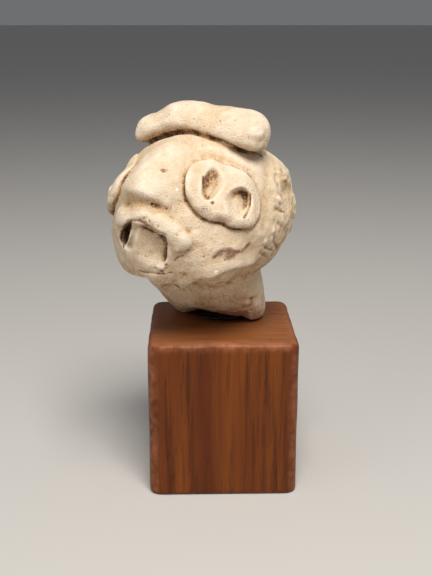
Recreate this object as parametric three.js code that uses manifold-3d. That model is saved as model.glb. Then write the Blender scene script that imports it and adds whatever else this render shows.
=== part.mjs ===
// A broken, hand-modelled clay head glued to a square hardwood block.
// Millimetres, +Z up. The origin is the centre of the block's underside, and the block's shown side faces -Y.
// The head is shaped in its own frame, with its centre at the origin, its face towards -Y and its left side
// at +X, and is then turned and set down on the block.

import * as THREE from "three";
import { mergeVertices } from "three/addons/utils/BufferGeometryUtils.js";
import Module from "manifold-3d";

const wasm = await Module();
wasm.setup();

// Driving dimensions of the block
const blockSide = 38;
const blockHeight = 42;
const blockCorner = 3.2;
const blockEdge = 1.6;
const cornerFacets = 5;
const edgeFacets = 2;

// Driving dimensions of the head
const headPlace = { x: -5.2, y: -2.5, z: 72.1 };
const headTurn = -32;
const skullHalfWidth = 22.8;
const skullFront = 22.8;
const skullBack = 18;
const skullTop = 22;
const skullBottom = 18.4;
const skullDetail = 13;

// The hand-modelled forms of the skull: where they are, which way the clay moves and how far round it
const skullForms = [
  { name: "snout", at: [-0.5, -21.4, 12.2], by: [0, -2.4, 0], reach: 14 },
  { name: "mouth ridge", at: [-3, -22.4, -1], by: [-0.6, -4.2, 0], reach: 17 },
  { name: "chin roll", at: [-3, -18.4, -13.2], by: [-0.8, -3.6, -0.8], reach: 13 },
  { name: "forehead", at: [2, -13.2, 17.4], by: [0, -0.8, 1.2], reach: 12 },
  { name: "left jaw", at: [14.2, -15.2, -12.2], by: [1.2, -1.6, -1], reach: 12 },
  { name: "right jaw", at: [-16.2, -14.2, -12.2], by: [-1.4, -1.6, -1], reach: 12 },
  { name: "left temple hollow", at: [17.4, -2, 14.2], by: [-1.2, 0, -0.6], reach: 9 },
  { name: "right temple hollow", at: [-17.4, -2, 14.2], by: [1.2, 0, -0.6], reach: 9 },
];

// The rims that were pinched up behind the eyes, from the headband round to the jaw, in angles on the skull
const rimHeight = 3;
const rimHalfWidth = 8.5;
const rimTurn = 117;
const rimMiddle = 9;
const rimHalfSpan = 56;
const rimForward = 0.9;
const rimLobes = 5.5;
const rimLobeDepth = 0.3;

// Each form below is a rounded lump. Blunt runs from 2, an ellipsoid, towards a box, and root is how many
// times deeper it goes inwards. Around and down are its facets.

// The headband, a roll of clay laid over the head from ear to ear
const bandForm = { halfLength: 17.9, halfWidth: 4.8, height: 4, blunt: 3.6, root: 1, around: 18, down: 24 };
const bandPlace = { x: 2.3, y: -3, z: 25.2 };
const bandSag = 4.7;
const bandSwing = 1.5;

// The eyes, an oval pad each with two gouges that leave a ridge for the pupil
const leftEye = { turn: 44, lift: 23, slant: -38, radius: 24.1, side: 1 };
const rightEye = { turn: -58, lift: 20, slant: 42, radius: 23.2, side: -1 };
const eyeForm = { halfLength: 10.2, halfWidth: 6.7, height: 2, blunt: 2.8, root: 3, around: 30, down: 10 };
const innerGouge = { x: -4.7, y: 0.5, z: 2.4, halfLength: 3.1, halfWidth: 2.5, height: 3 };
const outerGouge = { x: 4.5, y: 0.2, z: 2.4, halfLength: 3.7, halfWidth: 3.3, height: 3 };

// The mouth, an arched upper lip over two gouges with a ridge between them
const mouthPlace = { turn: -9, lift: -3, slant: -22, radius: 24.1, side: 1 };
const leftMouthGouge = { x: 5.4, y: 0.3, z: 4, halfLength: 4.5, halfWidth: 4.7, height: 4.7 };
const rightMouthGouge = { x: -5.4, y: 0, z: 3.6, halfLength: 4.3, halfWidth: 4.5, height: 4.7 };
const lipPlace = { turn: -1, lift: 8, slant: -6, radius: 24.1 };
const lipForm = { halfLength: 11.2, halfWidth: 2.4, height: 2.2, blunt: 2.2, root: 2, around: 14, down: 22 };
const lipArch = 6.6;
const lipRise = { middle: 2.4, ends: 0.8 };

// What every gouge has in common: its bluntness, its facets and how much its floor leans, as a share of depth
const gougeTool = { blunt: 2.6, root: 1, around: 18, down: 10 };
const gougeLean = 0.35;

// The nose, a broad snout with two pricked nostrils under it
const nosePlace = { turn: -1, lift: 26, slant: -4, radius: 23.2 };
const noseForm = { halfLength: 8.2, halfWidth: 5.5, height: 3.2, blunt: 2.2, root: 2, around: 24, down: 12 };
const nostrilPlaces = [
  { turn: 3, lift: 15.5, slant: 0, radius: 24.1 },
  { turn: 12.5, lift: 14, slant: 0, radius: 24.1 },
];
const nostrilForm = { halfLength: 0.9, halfWidth: 0.9, height: 3, blunt: 2, root: 1, around: 10, down: 8 };

// The neck, which narrows down and back to a level, uneven break just above the block
const gap = 0.3;
const neckTop = { x: -2.6, y: -3.6, z: -9, halfWidth: 19.4, halfDepth: 16.6 };
const neckFoot = { x: -0.3, y: 12, z: blockHeight + gap - headPlace.z, halfWidth: 12.4, halfDepth: 7.4 };
const neckFlare = 1.25;
const neckSides = 44;
const neckSteps = 8;

// The hollow in the break's front edge, which the glue fills
const hollowPlace = { x: 1, y: 8 };
const hollowForm = { halfLength: 8.4, halfWidth: 5.4, height: 2.2, blunt: 3, root: 1, around: 28, down: 10 };

const clay = makeMaterial("fired clay", "#dcc39a", 0.92);
const wood = makeMaterial("stained wood", "#7a3a1a", 0.5);
const glue = makeMaterial("glue", "#1c1612", 0.35);

function makeMaterial(name, color, roughness) {
  return new THREE.MeshStandardMaterial({ name, color, roughness, metalness: 0 });
}

function radians(degrees) {
  return THREE.MathUtils.degToRad(degrees);
}

// A closed geometry as a solid that can be joined and cut
function toSolid(geometry) {
  const bare = geometry.clone();
  bare.deleteAttribute("normal");
  bare.deleteAttribute("uv");
  const merged = mergeVertices(bare, 1e-4);
  const mesh = new wasm.Mesh({
    numProp: 3,
    vertProperties: new Float32Array(merged.attributes.position.array),
    triVerts: new Uint32Array(merged.index.array),
  });
  return new wasm.Manifold(mesh);
}

function toGeometry(solid) {
  const mesh = solid.getMesh();
  const geometry = new THREE.BufferGeometry();
  geometry.setAttribute("position", new THREE.BufferAttribute(new Float32Array(mesh.vertProperties), 3));
  geometry.setIndex(new THREE.BufferAttribute(new Uint32Array(mesh.triVerts), 1));
  return geometry;
}

// Moves every vertex of a geometry by a function that changes the point it is given
function reshape(geometry, change) {
  const position = geometry.attributes.position;
  const point = new THREE.Vector3();
  for (let i = 0; i < position.count; i += 1) {
    point.fromBufferAttribute(position, i);
    change(point);
    position.setXYZ(i, point.x, point.y, point.z);
  }
  return geometry;
}

// A mirrored form has its faces turned the other way, so each triangle is wound again
function turnInsideOut(geometry) {
  const index = geometry.index.array;
  for (let i = 0; i < index.length; i += 3) {
    [index[i], index[i + 1]] = [index[i + 1], index[i]];
  }
}

// How strongly a form acts at a distance from its middle: all there, nothing at its reach
function fade(distance, reach) {
  const left = Math.max(0, 1 - (distance / reach) ** 2);
  return left * left;
}

function lump({ halfLength, halfWidth, height, blunt, root, around, down }) {
  return reshape(new THREE.SphereGeometry(1, around, down), (point) => {
    const sum = Math.abs(point.x) ** blunt + Math.abs(point.y) ** blunt + Math.abs(point.z) ** blunt;
    point.multiplyScalar(sum ** (-1 / blunt));
    point.multiply(new THREE.Vector3(halfLength, halfWidth, height));
    point.z *= point.z < 0 ? root : 1;
  });
}

// Lays a form on the skull: its x runs along the slant, its y across it and its z outwards
function layOnSkull(geometry, { turn, lift, slant, radius }) {
  const outward = new THREE.Vector3(0, -1, 0)
    .applyAxisAngle(new THREE.Vector3(1, 0, 0), radians(-lift))
    .applyAxisAngle(new THREE.Vector3(0, 0, 1), radians(turn));
  const level = new THREE.Vector3(0, 0, 1).cross(outward).normalize();
  const upward = outward.clone().cross(level);
  const along = level.clone().multiplyScalar(Math.cos(radians(slant)));
  along.addScaledVector(upward, Math.sin(radians(slant)));
  const across = outward.clone().cross(along).normalize();
  return reshape(geometry, (point) => {
    const height = radius + point.z;
    const ray = outward.clone().multiplyScalar(radius);
    ray.addScaledVector(along, point.x);
    ray.addScaledVector(across, point.y);
    point.copy(ray.normalize().multiplyScalar(height));
  });
}

// Pinches a lobed rim out of both sides of the skull. It runs forward below the ears to the jaw.
function raiseRims(point) {
  const elevation = THREE.MathUtils.radToDeg(Math.asin(point.z / point.length()));
  const turn = THREE.MathUtils.radToDeg(Math.atan2(Math.abs(point.x), -point.y));
  const forward = Math.max(0, -elevation) * rimForward;
  const across = radians(turn - rimTurn + forward) * point.length();
  const share = (elevation - rimMiddle) / rimHalfSpan;
  const lobes = 1 - rimLobeDepth * Math.sin(rimLobes * Math.PI * share * 0.5) ** 2;
  const rise = rimHeight * fade(across, rimHalfWidth) * fade(share, 1) * lobes;
  point.multiplyScalar(1 + rise / point.length());
}

function makeSkull() {
  const skull = new THREE.IcosahedronGeometry(1, skullDetail);
  reshape(skull, (point) => {
    point.x *= skullHalfWidth;
    point.y *= point.y < 0 ? skullFront : skullBack;
    point.z *= point.z > 0 ? skullTop : skullBottom;
  });
  reshape(skull, (point) => {
    const start = point.clone();
    for (const form of skullForms) {
      const strength = fade(start.distanceTo(new THREE.Vector3(...form.at)), form.reach);
      point.addScaledVector(new THREE.Vector3(...form.by), strength);
    }
  });
  return toSolid(reshape(skull, raiseRims));
}

function makeNeck() {
  const neck = new THREE.CylinderGeometry(1, 1, 1, neckSides, neckSteps);
  neck.rotateX(Math.PI / 2);
  reshape(neck, (point) => {
    const up = point.z + 0.5;
    const spread = up ** neckFlare;
    const halfWidth = THREE.MathUtils.lerp(neckFoot.halfWidth, neckTop.halfWidth, spread);
    const halfDepth = THREE.MathUtils.lerp(neckFoot.halfDepth, neckTop.halfDepth, spread);
    point.x = THREE.MathUtils.lerp(neckFoot.x, neckTop.x, up) + point.x * halfWidth;
    point.y = THREE.MathUtils.lerp(neckFoot.y, neckTop.y, up) + point.y * halfDepth;
    point.z = THREE.MathUtils.lerp(neckFoot.z, neckTop.z, up);
  });
  return toSolid(neck);
}

function makeBand() {
  const band = lump(bandForm);
  reshape(band, (point) => {
    const share = point.x / bandForm.halfLength;
    point.z -= bandSag * share * share;
    point.y += bandSwing * share;
    point.add(bandPlace);
  });
  return toSolid(band);
}

function makeEyePad(eye) {
  return toSolid(layOnSkull(lump(eyeForm), eye));
}

// A gouge gets deeper away from the ridge beside it and stops at a steep wall
function makeGouge(gouge, place) {
  const tool = lump({ ...gougeTool, ...gouge });
  const lean = gougeLean * gouge.height * Math.sign(gouge.x);
  reshape(tool, (point) => {
    point.z -= lean * point.x / gouge.halfLength;
    point.add(gouge);
    point.x *= place.side;
  });
  if (place.side < 0) turnInsideOut(tool);
  return toSolid(layOnSkull(tool, place));
}

function makeEyeGouges(eye) {
  return makeGouge(innerGouge, eye).add(makeGouge(outerGouge, eye));
}

function makeLip() {
  const lip = lump(lipForm);
  reshape(lip, (point) => {
    const share = point.x / lipForm.halfLength;
    point.y -= lipArch * share * share;
    point.z += THREE.MathUtils.lerp(lipRise.middle, lipRise.ends, share * share);
  });
  return toSolid(layOnSkull(lip, lipPlace));
}

function makeMouthGouges() {
  return makeGouge(leftMouthGouge, mouthPlace).add(makeGouge(rightMouthGouge, mouthPlace));
}

function makeNose() {
  return toSolid(layOnSkull(lump(noseForm), nosePlace));
}

function makeNostrils() {
  const [left, right] = nostrilPlaces.map((place) => toSolid(layOnSkull(lump(nostrilForm), place)));
  return left.add(right);
}

// The low hollow under the break's front edge, or the glue in it when shrunk by the gap
function makeHollow(shrink) {
  const form = { ...hollowForm };
  form.halfLength -= shrink;
  form.halfWidth -= shrink;
  form.height -= shrink;
  return toSolid(lump(form).translate(hollowPlace.x, hollowPlace.y, neckFoot.z));
}

function makeHead() {
  const eyes = [leftEye, rightEye];
  const forms = [makeNeck(), makeBand(), makeNose(), makeLip(), ...eyes.map(makeEyePad)];
  const whole = forms.reduce((joined, form) => joined.add(form), makeSkull());
  const cuts = [makeMouthGouges(), makeNostrils(), makeHollow(0), ...eyes.map(makeEyeGouges)];
  const carved = cuts.reduce((rest, cut) => rest.subtract(cut), whole);
  const head = new THREE.Mesh(toGeometry(carved), clay);
  head.name = "terracotta_head";
  return head;
}

function makeBlock() {
  const half = blockSide / 2 - blockEdge;
  const round = blockCorner - blockEdge;
  const outline = new THREE.Shape();
  outline.moveTo(-half + round, -half);
  outline.lineTo(half - round, -half);
  outline.absarc(half - round, -half + round, round, -Math.PI / 2, 0);
  outline.lineTo(half, half - round);
  outline.absarc(half - round, half - round, round, 0, Math.PI / 2);
  outline.lineTo(-half + round, half);
  outline.absarc(-half + round, half - round, round, Math.PI / 2, Math.PI);
  outline.lineTo(-half, -half + round);
  outline.absarc(-half + round, -half + round, round, Math.PI, Math.PI * 1.5);
  const block = new THREE.Mesh(new THREE.ExtrudeGeometry(outline, {
    depth: blockHeight - 2 * blockEdge,
    bevelThickness: blockEdge,
    bevelSize: blockEdge,
    bevelSegments: edgeFacets,
    curveSegments: cornerFacets,
  }), wood);
  block.position.z = blockEdge;
  block.name = "wood_block";
  return block;
}

// The glue fills the hollow down to the break's own level, so its lower half is cut off there
function makeGlue() {
  const keep = new THREE.BoxGeometry(blockSide, blockSide, blockSide);
  const above = toSolid(keep.translate(hollowPlace.x, hollowPlace.y, neckFoot.z + blockSide / 2));
  const pad = new THREE.Mesh(toGeometry(makeHollow(gap).intersect(above)), glue);
  pad.name = "mounting_glue";
  return pad;
}

// The head and its glue are turned and set down together
const mounted = new THREE.Group();
mounted.add(makeHead(), makeGlue());
mounted.position.set(headPlace.x, headPlace.y, headPlace.z);
mounted.rotation.z = radians(headTurn);

const part = new THREE.Group();
part.add(mounted, makeBlock());

export default part;
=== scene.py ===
import math

import bpy
import numpy as np
from mathutils import Euler, Matrix, Vector
from mathutils.bvhtree import BVHTree


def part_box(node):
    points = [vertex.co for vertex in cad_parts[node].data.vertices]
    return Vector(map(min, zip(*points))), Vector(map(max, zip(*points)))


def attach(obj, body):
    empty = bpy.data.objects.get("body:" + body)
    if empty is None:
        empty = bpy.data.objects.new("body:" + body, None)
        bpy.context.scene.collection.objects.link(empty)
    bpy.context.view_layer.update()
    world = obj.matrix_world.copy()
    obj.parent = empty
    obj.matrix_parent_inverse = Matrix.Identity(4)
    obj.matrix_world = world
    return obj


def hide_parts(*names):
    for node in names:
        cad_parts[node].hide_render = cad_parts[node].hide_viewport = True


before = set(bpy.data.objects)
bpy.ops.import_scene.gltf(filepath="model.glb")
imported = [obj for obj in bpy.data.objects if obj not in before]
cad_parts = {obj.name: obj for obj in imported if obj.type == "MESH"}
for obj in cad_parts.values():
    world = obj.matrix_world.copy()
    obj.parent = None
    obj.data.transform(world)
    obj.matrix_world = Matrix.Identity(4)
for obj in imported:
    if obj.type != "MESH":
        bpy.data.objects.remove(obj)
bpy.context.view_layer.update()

# A broken clay head, modelled by hand and fired, glued to a square hardwood block.
# The head is built in its own frame: centre at the origin, face towards -Y, its left side at +X.
# Its sizes are in millimetres and become metres where a mesh is made.

mm = 0.001
mostTriangles = 180000
blockLow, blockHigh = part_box("wood_block")
glueLow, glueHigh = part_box("mounting_glue")
blockTop = blockHigh.z / mm

headPlace = Vector((-5.2, -2.5, blockTop + 30.1))   # the head's centre over the block
headTurn = -32                                       # degrees, the face looks to the viewer's left
faceToWorld = Matrix.Translation(headPlace) @ Matrix.Rotation(math.radians(headTurn), 4, "Z")
worldToFace = faceToWorld.inverted()

camera = dict(
    place=(-6.9, -239.7, 120.4), pitch=16.07, yaw=1.29,
    centre=(216, 288), focal=926, high=576,              # pixels of the photograph
)
cameraTurn = Euler((math.radians(90 - camera["pitch"]), 0, math.radians(-camera["yaw"])))
viewRight = np.array(worldToFace.to_3x3() @ Vector((1, 0, 0)))       # as seen from the head
viewFront = np.array(worldToFace.to_3x3() @ Vector((0, -1, 0)))


def lookThrough(pixel):
    x = (pixel[0] - camera["centre"][0]) / camera["focal"]
    y = (camera["centre"][1] - pixel[1]) / camera["focal"]
    way = worldToFace.to_3x3() @ (cameraTurn.to_matrix() @ Vector((x, y, -1)))
    return worldToFace @ Vector(camera["place"]), way.normalized()


# Small helpers for the modelling operators

def deselectAll():
    if bpy.context.mode != "OBJECT":
        bpy.ops.object.mode_set(mode="OBJECT")
    bpy.ops.object.select_all(action="DESELECT")


def takeUp(piece):
    deselectAll()
    piece.select_set(True)
    bpy.context.view_layer.objects.active = piece


def applyModifier(piece, kind, **settings):
    takeUp(piece)
    modifier = piece.modifiers.new(kind.title(), kind)
    for key, value in settings.items():
        setattr(modifier, key, value)
    bpy.ops.object.modifier_apply(modifier=modifier.name)


def joinAll(pieces, name):
    takeUp(pieces[0])
    for piece in pieces[1:]:
        piece.select_set(True)
    bpy.ops.object.join()
    pieces[0].name = name
    return pieces[0]


def selectVertices(piece, test):
    bpy.ops.object.mode_set(mode="EDIT")
    bpy.ops.mesh.select_all(action="DESELECT")
    bpy.ops.object.mode_set(mode="OBJECT")
    for vertex in piece.data.vertices:
        vertex.select = test(vertex)
    bpy.ops.object.mode_set(mode="EDIT")


def pullClay(piece, at, by, reach):
    place = Vector(at) * mm
    nearest = min(piece.data.vertices, key=lambda vertex: (vertex.co - place).length_squared).index
    selectVertices(piece, lambda vertex: vertex.index == nearest)
    bpy.ops.transform.translate(
        value=Vector(by) * mm, use_proportional_edit=True,
        proportional_edit_falloff="SMOOTH", proportional_size=reach * mm)
    bpy.ops.object.mode_set(mode="OBJECT")


# The skull and the larger forms of the face

skull = dict(
    halfWidth=22.8, front=22.8, back=18, top=22, bottom=18.4, rounds=5,
    pulls=[
        # what, where, which way the clay moves, how far round it
        ("snout", (-0.5, -21.4, 12), (0, -4.2, -0.6), 13),
        ("mouth ridge", (-3, -22.4, -1), (-0.6, -4.6, 0), 19),
        ("chin roll", (-3, -18.4, -13.2), (-0.8, -4, -0.8), 15),
        ("forehead", (2, -13.2, 17.4), (0, -0.8, 1.2), 14),
        ("left jaw", (14.2, -15.2, -12.2), (1.6, -2, -1), 13),
        ("right jaw", (-16.2, -14.2, -12.2), (-1.6, -2, -1), 13),
        ("left temple", (20.4, -7, 8), (-0.8, 0.6, 0), 9),
        ("right temple", (-20.4, -7, 8), (0.8, 0.6, 0), 9),
    ],
)


def makeSkull():
    bpy.ops.mesh.primitive_ico_sphere_add(subdivisions=skull["rounds"], radius=mm)
    piece = bpy.context.object
    takeUp(piece)
    bpy.ops.object.mode_set(mode="EDIT")
    bpy.ops.mesh.select_all(action="SELECT")
    bpy.ops.transform.resize(value=(skull["halfWidth"], skull["front"], skull["top"]))
    selectVertices(piece, lambda vertex: vertex.co.y > 0)
    bpy.ops.transform.resize(value=(1, skull["back"] / skull["front"], 1), center_override=(0, 0, 0))
    selectVertices(piece, lambda vertex: vertex.co.z < 0)
    bpy.ops.transform.resize(value=(1, 1, skull["bottom"] / skull["top"]), center_override=(0, 0, 0))
    bpy.ops.object.mode_set(mode="OBJECT")
    for _, at, by, reach in skull["pulls"]:
        pullClay(piece, at, by, reach)
    return piece


neckBlend = dict(height=-10, reach=8, front=-10, rounds=70)
neck = dict(
    foot=(-1.2, 11.4, -29.8), footHalf=(13.2, 8.2),
    top=(-3.2, -4.6, -4), topHalf=(19.2, 16.6),
    flare=0.7, steps=7, sides=64,
)


def makeNeck():
    foot, top = Vector(neck["foot"]), Vector(neck["top"])
    bpy.ops.mesh.primitive_circle_add(vertices=neck["sides"], radius=mm, fill_type="NGON", location=foot * mm)
    piece = bpy.context.object
    takeUp(piece)
    bpy.ops.object.transform_apply(location=True, rotation=True, scale=True)
    bpy.ops.object.mode_set(mode="EDIT")
    bpy.ops.mesh.select_all(action="SELECT")
    half = neck["footHalf"]
    bpy.ops.transform.resize(value=(half[0], half[1], 1), center_override=foot * mm)
    place = foot
    for step in range(1, neck["steps"] + 1):
        up = step / neck["steps"]
        spread = up ** neck["flare"]
        nextHalf = [low + (high - low) * spread for low, high in zip(neck["footHalf"], neck["topHalf"])]
        nextPlace = foot.lerp(top, up)
        bpy.ops.mesh.extrude_region_move(TRANSFORM_OT_translate={"value": (nextPlace - place) * mm})
        bpy.ops.transform.resize(
            value=(nextHalf[0] / half[0], nextHalf[1] / half[1], 1), center_override=nextPlace * mm)
        half, place = nextHalf, nextPlace
    bpy.ops.mesh.select_all(action="SELECT")
    bpy.ops.mesh.normals_make_consistent(inside=False)
    bpy.ops.object.mode_set(mode="OBJECT")
    return piece


band = dict(
    left=-15.6, right=19.3, swing=1.5, depth=-3, halfDepth=5, lean=0.25,
    square=2.6, ends=9, steps=34, sides=48,
    top=[(141, 119), (145.6, 113.6), (151, 112.2), (156.5, 112), (161, 109), (166.6, 104.8), (176.7, 101.2),
         (184.5, 100.3), (200, 103.2), (217, 106.7), (228, 106.8), (239, 107.9), (248, 111), (262.4, 115.5),
         (267.5, 120), (271, 126)],
    bottom=[(139, 143.5), (142, 144.5), (152, 140), (161, 136), (176.7, 131.6), (190, 130.2), (200, 132.4),
            (208, 135.5), (229.7, 142.8), (245.2, 149.4), (258, 156.5), (266, 157)],
    bottomDepth=0.35,
)


def edgeHeights(seen, forward):
    places = []
    for pixel in seen:
        eye, way = lookThrough(pixel)
        spot = eye
        for _ in range(3):                       # the band swings back a little along its length
            depth = bandDepth(spot.x) - forward
            spot = eye + way * ((depth - eye.y) / way.y)
        places.append((spot.x, spot.z))
    return list(zip(*sorted(places)))


def bandDepth(x):
    middle = (band["left"] + band["right"]) / 2
    share = min(max((x - middle) / (band["right"] - middle), -1), 1)
    return band["depth"] + band["swing"] * share


def makeBand():
    middle = (band["left"] + band["right"]) / 2
    halfLength = (band["right"] - band["left"]) / 2
    topLine = edgeHeights(band["top"], 0)
    bottomLine = edgeHeights(band["bottom"], band["halfDepth"] * band["bottomDepth"])

    def section(share):
        x = middle + halfLength * share
        high, low = np.interp(x, *topLine), np.interp(x, *bottomLine)
        girth = max(0.45, (1 - abs(share) ** band["ends"]) ** (1 / 3.2))
        centre = Vector((x, bandDepth(x), (high + low) / 2))
        return centre, (high - low) / 2 * girth, band["halfDepth"] * girth

    place, halfHeight, halfDepth = section(-1)
    bpy.ops.mesh.primitive_circle_add(
        vertices=band["sides"], radius=mm, fill_type="NGON",
        location=place * mm, rotation=(0, math.pi / 2, 0))
    piece = bpy.context.object
    takeUp(piece)
    bpy.ops.object.transform_apply(location=True, rotation=True, scale=True)
    for vertex in piece.data.vertices:           # a strap's section is squarer than a circle and leans back
        offset = vertex.co / mm - place
        offset /= (abs(offset.y) ** band["square"] + abs(offset.z) ** band["square"]) ** (1 / band["square"])
        offset.y += band["lean"] * offset.z
        vertex.co = (place + offset) * mm
    bpy.ops.object.mode_set(mode="EDIT")
    bpy.ops.mesh.select_all(action="SELECT")
    bpy.ops.transform.resize(value=(1, halfDepth, halfHeight), center_override=place * mm)
    for step in range(1, band["steps"] + 1):
        nextPlace, nextHeight, nextDepth = section(-math.cos(math.pi * step / band["steps"]))
        bpy.ops.mesh.extrude_region_move(TRANSFORM_OT_translate={"value": (nextPlace - place) * mm})
        bpy.ops.transform.resize(
            value=(1, nextDepth / halfDepth, nextHeight / halfHeight), center_override=nextPlace * mm)
        place, halfHeight, halfDepth = nextPlace, nextHeight, nextDepth
    bpy.ops.mesh.select_all(action="SELECT")
    bpy.ops.mesh.normals_make_consistent(inside=False)
    bpy.ops.object.mode_set(mode="OBJECT")
    return piece


# Sculpting on the joined clay: what follows moves points of the mesh, as a tool or a fingertip would

class Clay:
    def __init__(self, piece):
        self.piece = piece
        self.read()

    def read(self):
        mesh = self.piece.data
        values = np.empty(len(mesh.vertices) * 3)
        mesh.vertices.foreach_get("co", values)
        self.points = values.reshape(-1, 3) / mm
        edges = np.empty(len(mesh.edges) * 2, int)
        mesh.edges.foreach_get("vertices", edges)
        self.edges = edges.reshape(-1, 2)
        self.degree = np.bincount(edges, minlength=len(self.points)).astype(float)
        self.settle()

    def settle(self):
        mesh = self.piece.data
        mesh.vertices.foreach_set("co", (self.points * mm).ravel())
        mesh.update()
        normals = np.empty(len(mesh.vertices) * 3)
        mesh.vertices.foreach_get("normal", normals)
        self.normals = self.spread(normals.reshape(-1, 3), 3)
        self.normals /= np.linalg.norm(self.normals, axis=1)[:, None] + 1e-9
        self.tree = BVHTree.FromObject(self.piece, bpy.context.evaluated_depsgraph_get())

    def spread(self, values, rounds):
        a, b = self.edges[:, 0], self.edges[:, 1]
        flat = values.reshape(len(values), -1)
        for _ in range(rounds):
            total = np.empty_like(flat)
            for column in range(flat.shape[1]):
                lane = flat[:, column]
                total[:, column] = (np.bincount(a, lane[b], len(lane)) + np.bincount(b, lane[a], len(lane)))
            flat = 0.5 * flat + 0.5 * total / np.maximum(self.degree, 1)[:, None]
        return flat.reshape(values.shape)

    def remesh(self, size):
        applyModifier(self.piece, "REMESH", mode="VOXEL", voxel_size=size * mm)
        self.read()

    def castPixel(self, pixel):
        eye, way = lookThrough(pixel)
        hit = self.tree.ray_cast(eye * mm, way)[0]
        if hit is None:
            hit = self.tree.find_nearest((eye - way * eye.dot(way)) * mm)[0]
        return np.array(hit) / mm

    def layLine(self, place, closed=False):
        corners = [self.castPixel(pixel) for pixel in place]
        line = smoothLine(corners, closed)
        return np.array([np.array(self.tree.find_nearest(Vector(point) * mm)[0]) / mm for point in line])


def ease(value):
    value = np.clip(value, 0, 1)
    return value * value * (3 - 2 * value)


def smoothLine(corners, closed=False, steps=6):
    corners = [np.array(corner, float) for corner in corners]
    count = len(corners)
    line = []
    for i in range(count if closed else count - 1):
        if closed:
            a, b, c, d = (corners[(i + k) % count] for k in (-1, 0, 1, 2))
        else:
            a, b, c, d = (corners[min(max(i + k, 0), count - 1)] for k in (-1, 0, 1, 2))
        for step in range(steps):
            t = step / steps
            line.append(0.5 * (2 * b + (c - a) * t + (2 * a - 5 * b + 4 * c - d) * t * t
                               + (3 * b - a - 3 * c + d) * t ** 3))
    if not closed:
        line.append(corners[-1])
    return np.array(line)


def nearLine(points, line, reach):
    low, high = line.min(axis=0) - reach, line.max(axis=0) + reach
    near = np.nonzero(np.all((points > low) & (points < high), axis=1))[0]
    p = points[near]
    distance = np.full(len(near), 1e9)
    share = np.zeros(len(near))
    foot = np.zeros((len(near), 3))
    way = np.zeros((len(near), 3))
    for i in range(len(line) - 1):
        a, ab = line[i], line[i + 1] - line[i]
        t = np.clip((p - a) @ ab / max(ab @ ab, 1e-9), 0, 1)
        d = np.linalg.norm(p - a - t[:, None] * ab, axis=1)
        closer = d < distance
        distance[closer] = d[closer]
        share[closer] = (i + t[closer]) / (len(line) - 1)
        foot[closer] = (a + t[:, None] * ab)[closer]
        way[closer] = ab
    return near, distance, share, foot, way


def insideOutline(u, v, ring):
    distance = np.full(len(u), 1e9)
    crossed = np.zeros(len(u), bool)
    for i in range(len(ring)):
        (x0, y0), (x1, y1) = ring[i - 1], ring[i]
        dx, dy = x1 - x0, y1 - y0
        t = np.clip(((u - x0) * dx + (v - y0) * dy) / max(dx * dx + dy * dy, 1e-9), 0, 1)
        distance = np.minimum(distance, np.hypot(u - x0 - t * dx, v - y0 - t * dy))
        if dy:
            crossed ^= ((y0 > v) != (y1 > v)) & (u < x0 + dx * (v - y0) / dy)
    return np.where(crossed, distance, -distance)


def makePatch(turn, lift, slant=0, radius=24, side=1):
    outward = Vector((0, -1, 0))
    outward.rotate(Matrix.Rotation(math.radians(-lift), 3, "X"))
    outward.rotate(Matrix.Rotation(math.radians(turn), 3, "Z"))
    level = Vector((0, 0, 1)).cross(outward).normalized()
    upward = outward.cross(level)
    tilt = math.radians(slant)
    along = level * math.cos(tilt) + upward * math.sin(tilt)
    across = outward.cross(along)
    return dict(
        along=np.array(along) * side, across=np.array(across), outward=np.array(outward), radius=radius)


def radial(points):
    return points / np.linalg.norm(points, axis=1)[:, None]


def layArea(clay, seen):
    corners = [clay.castPixel(pixel) for pixel in seen]
    middle = np.mean(corners, axis=0)
    facing = np.mean([clay.normals[nearestPoint(clay.points, corner)] for corner in corners], axis=0)
    facing /= np.linalg.norm(facing)
    across = np.cross(facing, np.cross([0, 0, 1], facing))
    across /= np.linalg.norm(across)
    along = np.cross(across, facing)

    def flat(point):
        return (point - middle) @ along, (point - middle) @ across

    ring = smoothLine([flat(corner) for corner in corners], closed=True)
    offset = clay.points - middle
    ahead = (np.abs(offset @ facing) < 6) & (clay.normals @ facing > 0.15)
    u = np.where(ahead, offset @ along, 99)
    v = np.where(ahead, offset @ across, 99)
    return u, v, ring, flat


def nearestPoint(points, place):
    return np.argmin(np.sum((points - place) ** 2, axis=1))


def unevenness(points, size, seed, waves=30):
    draw = np.random.default_rng(seed)
    way = draw.normal(size=(waves, 3))
    way *= (2 * math.pi / size * draw.uniform(0.6, 1.5, waves) / np.linalg.norm(way, axis=1))[:, None]
    phase = draw.uniform(0, 2 * math.pi, waves)
    return np.sin(points @ way.T + phase).sum(axis=1) / math.sqrt(waves / 2)


def onPatch(points, patch):
    outwards = points @ patch["outward"]
    scale = patch["radius"] / np.maximum(outwards, 1)
    return (points @ patch["along"]) * scale, (points @ patch["across"]) * scale, outwards > 8


profiles = dict(
    swell=lambda x: (1 - x * x) ** 2,
    roll=lambda x: np.sqrt(1 - x * x),
    crease=lambda x: (1 - x) ** 2,
)


def stroke(clay, seen, width, push, profile="swell", ends=0.12):
    line = clay.layLine(seen)
    near, distance, share = nearLine(clay.points, line, width)[:3]
    inside = distance < width
    near, distance, share = near[inside], distance[inside], share[inside]
    fade = ease(np.minimum(share, 1 - share) / ends) if ends else 1
    amount = push * profiles[profile](distance / width) * fade
    clay.points[near] += clay.normals[near] * amount[:, None]


def dent(clay, pixel, radius, depth):
    distance = np.linalg.norm(clay.points - clay.castPixel(pixel), axis=1)
    near = distance < radius
    clay.points[near] -= clay.normals[near] * (depth * profiles["swell"](distance[near] / radius))[:, None]


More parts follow.
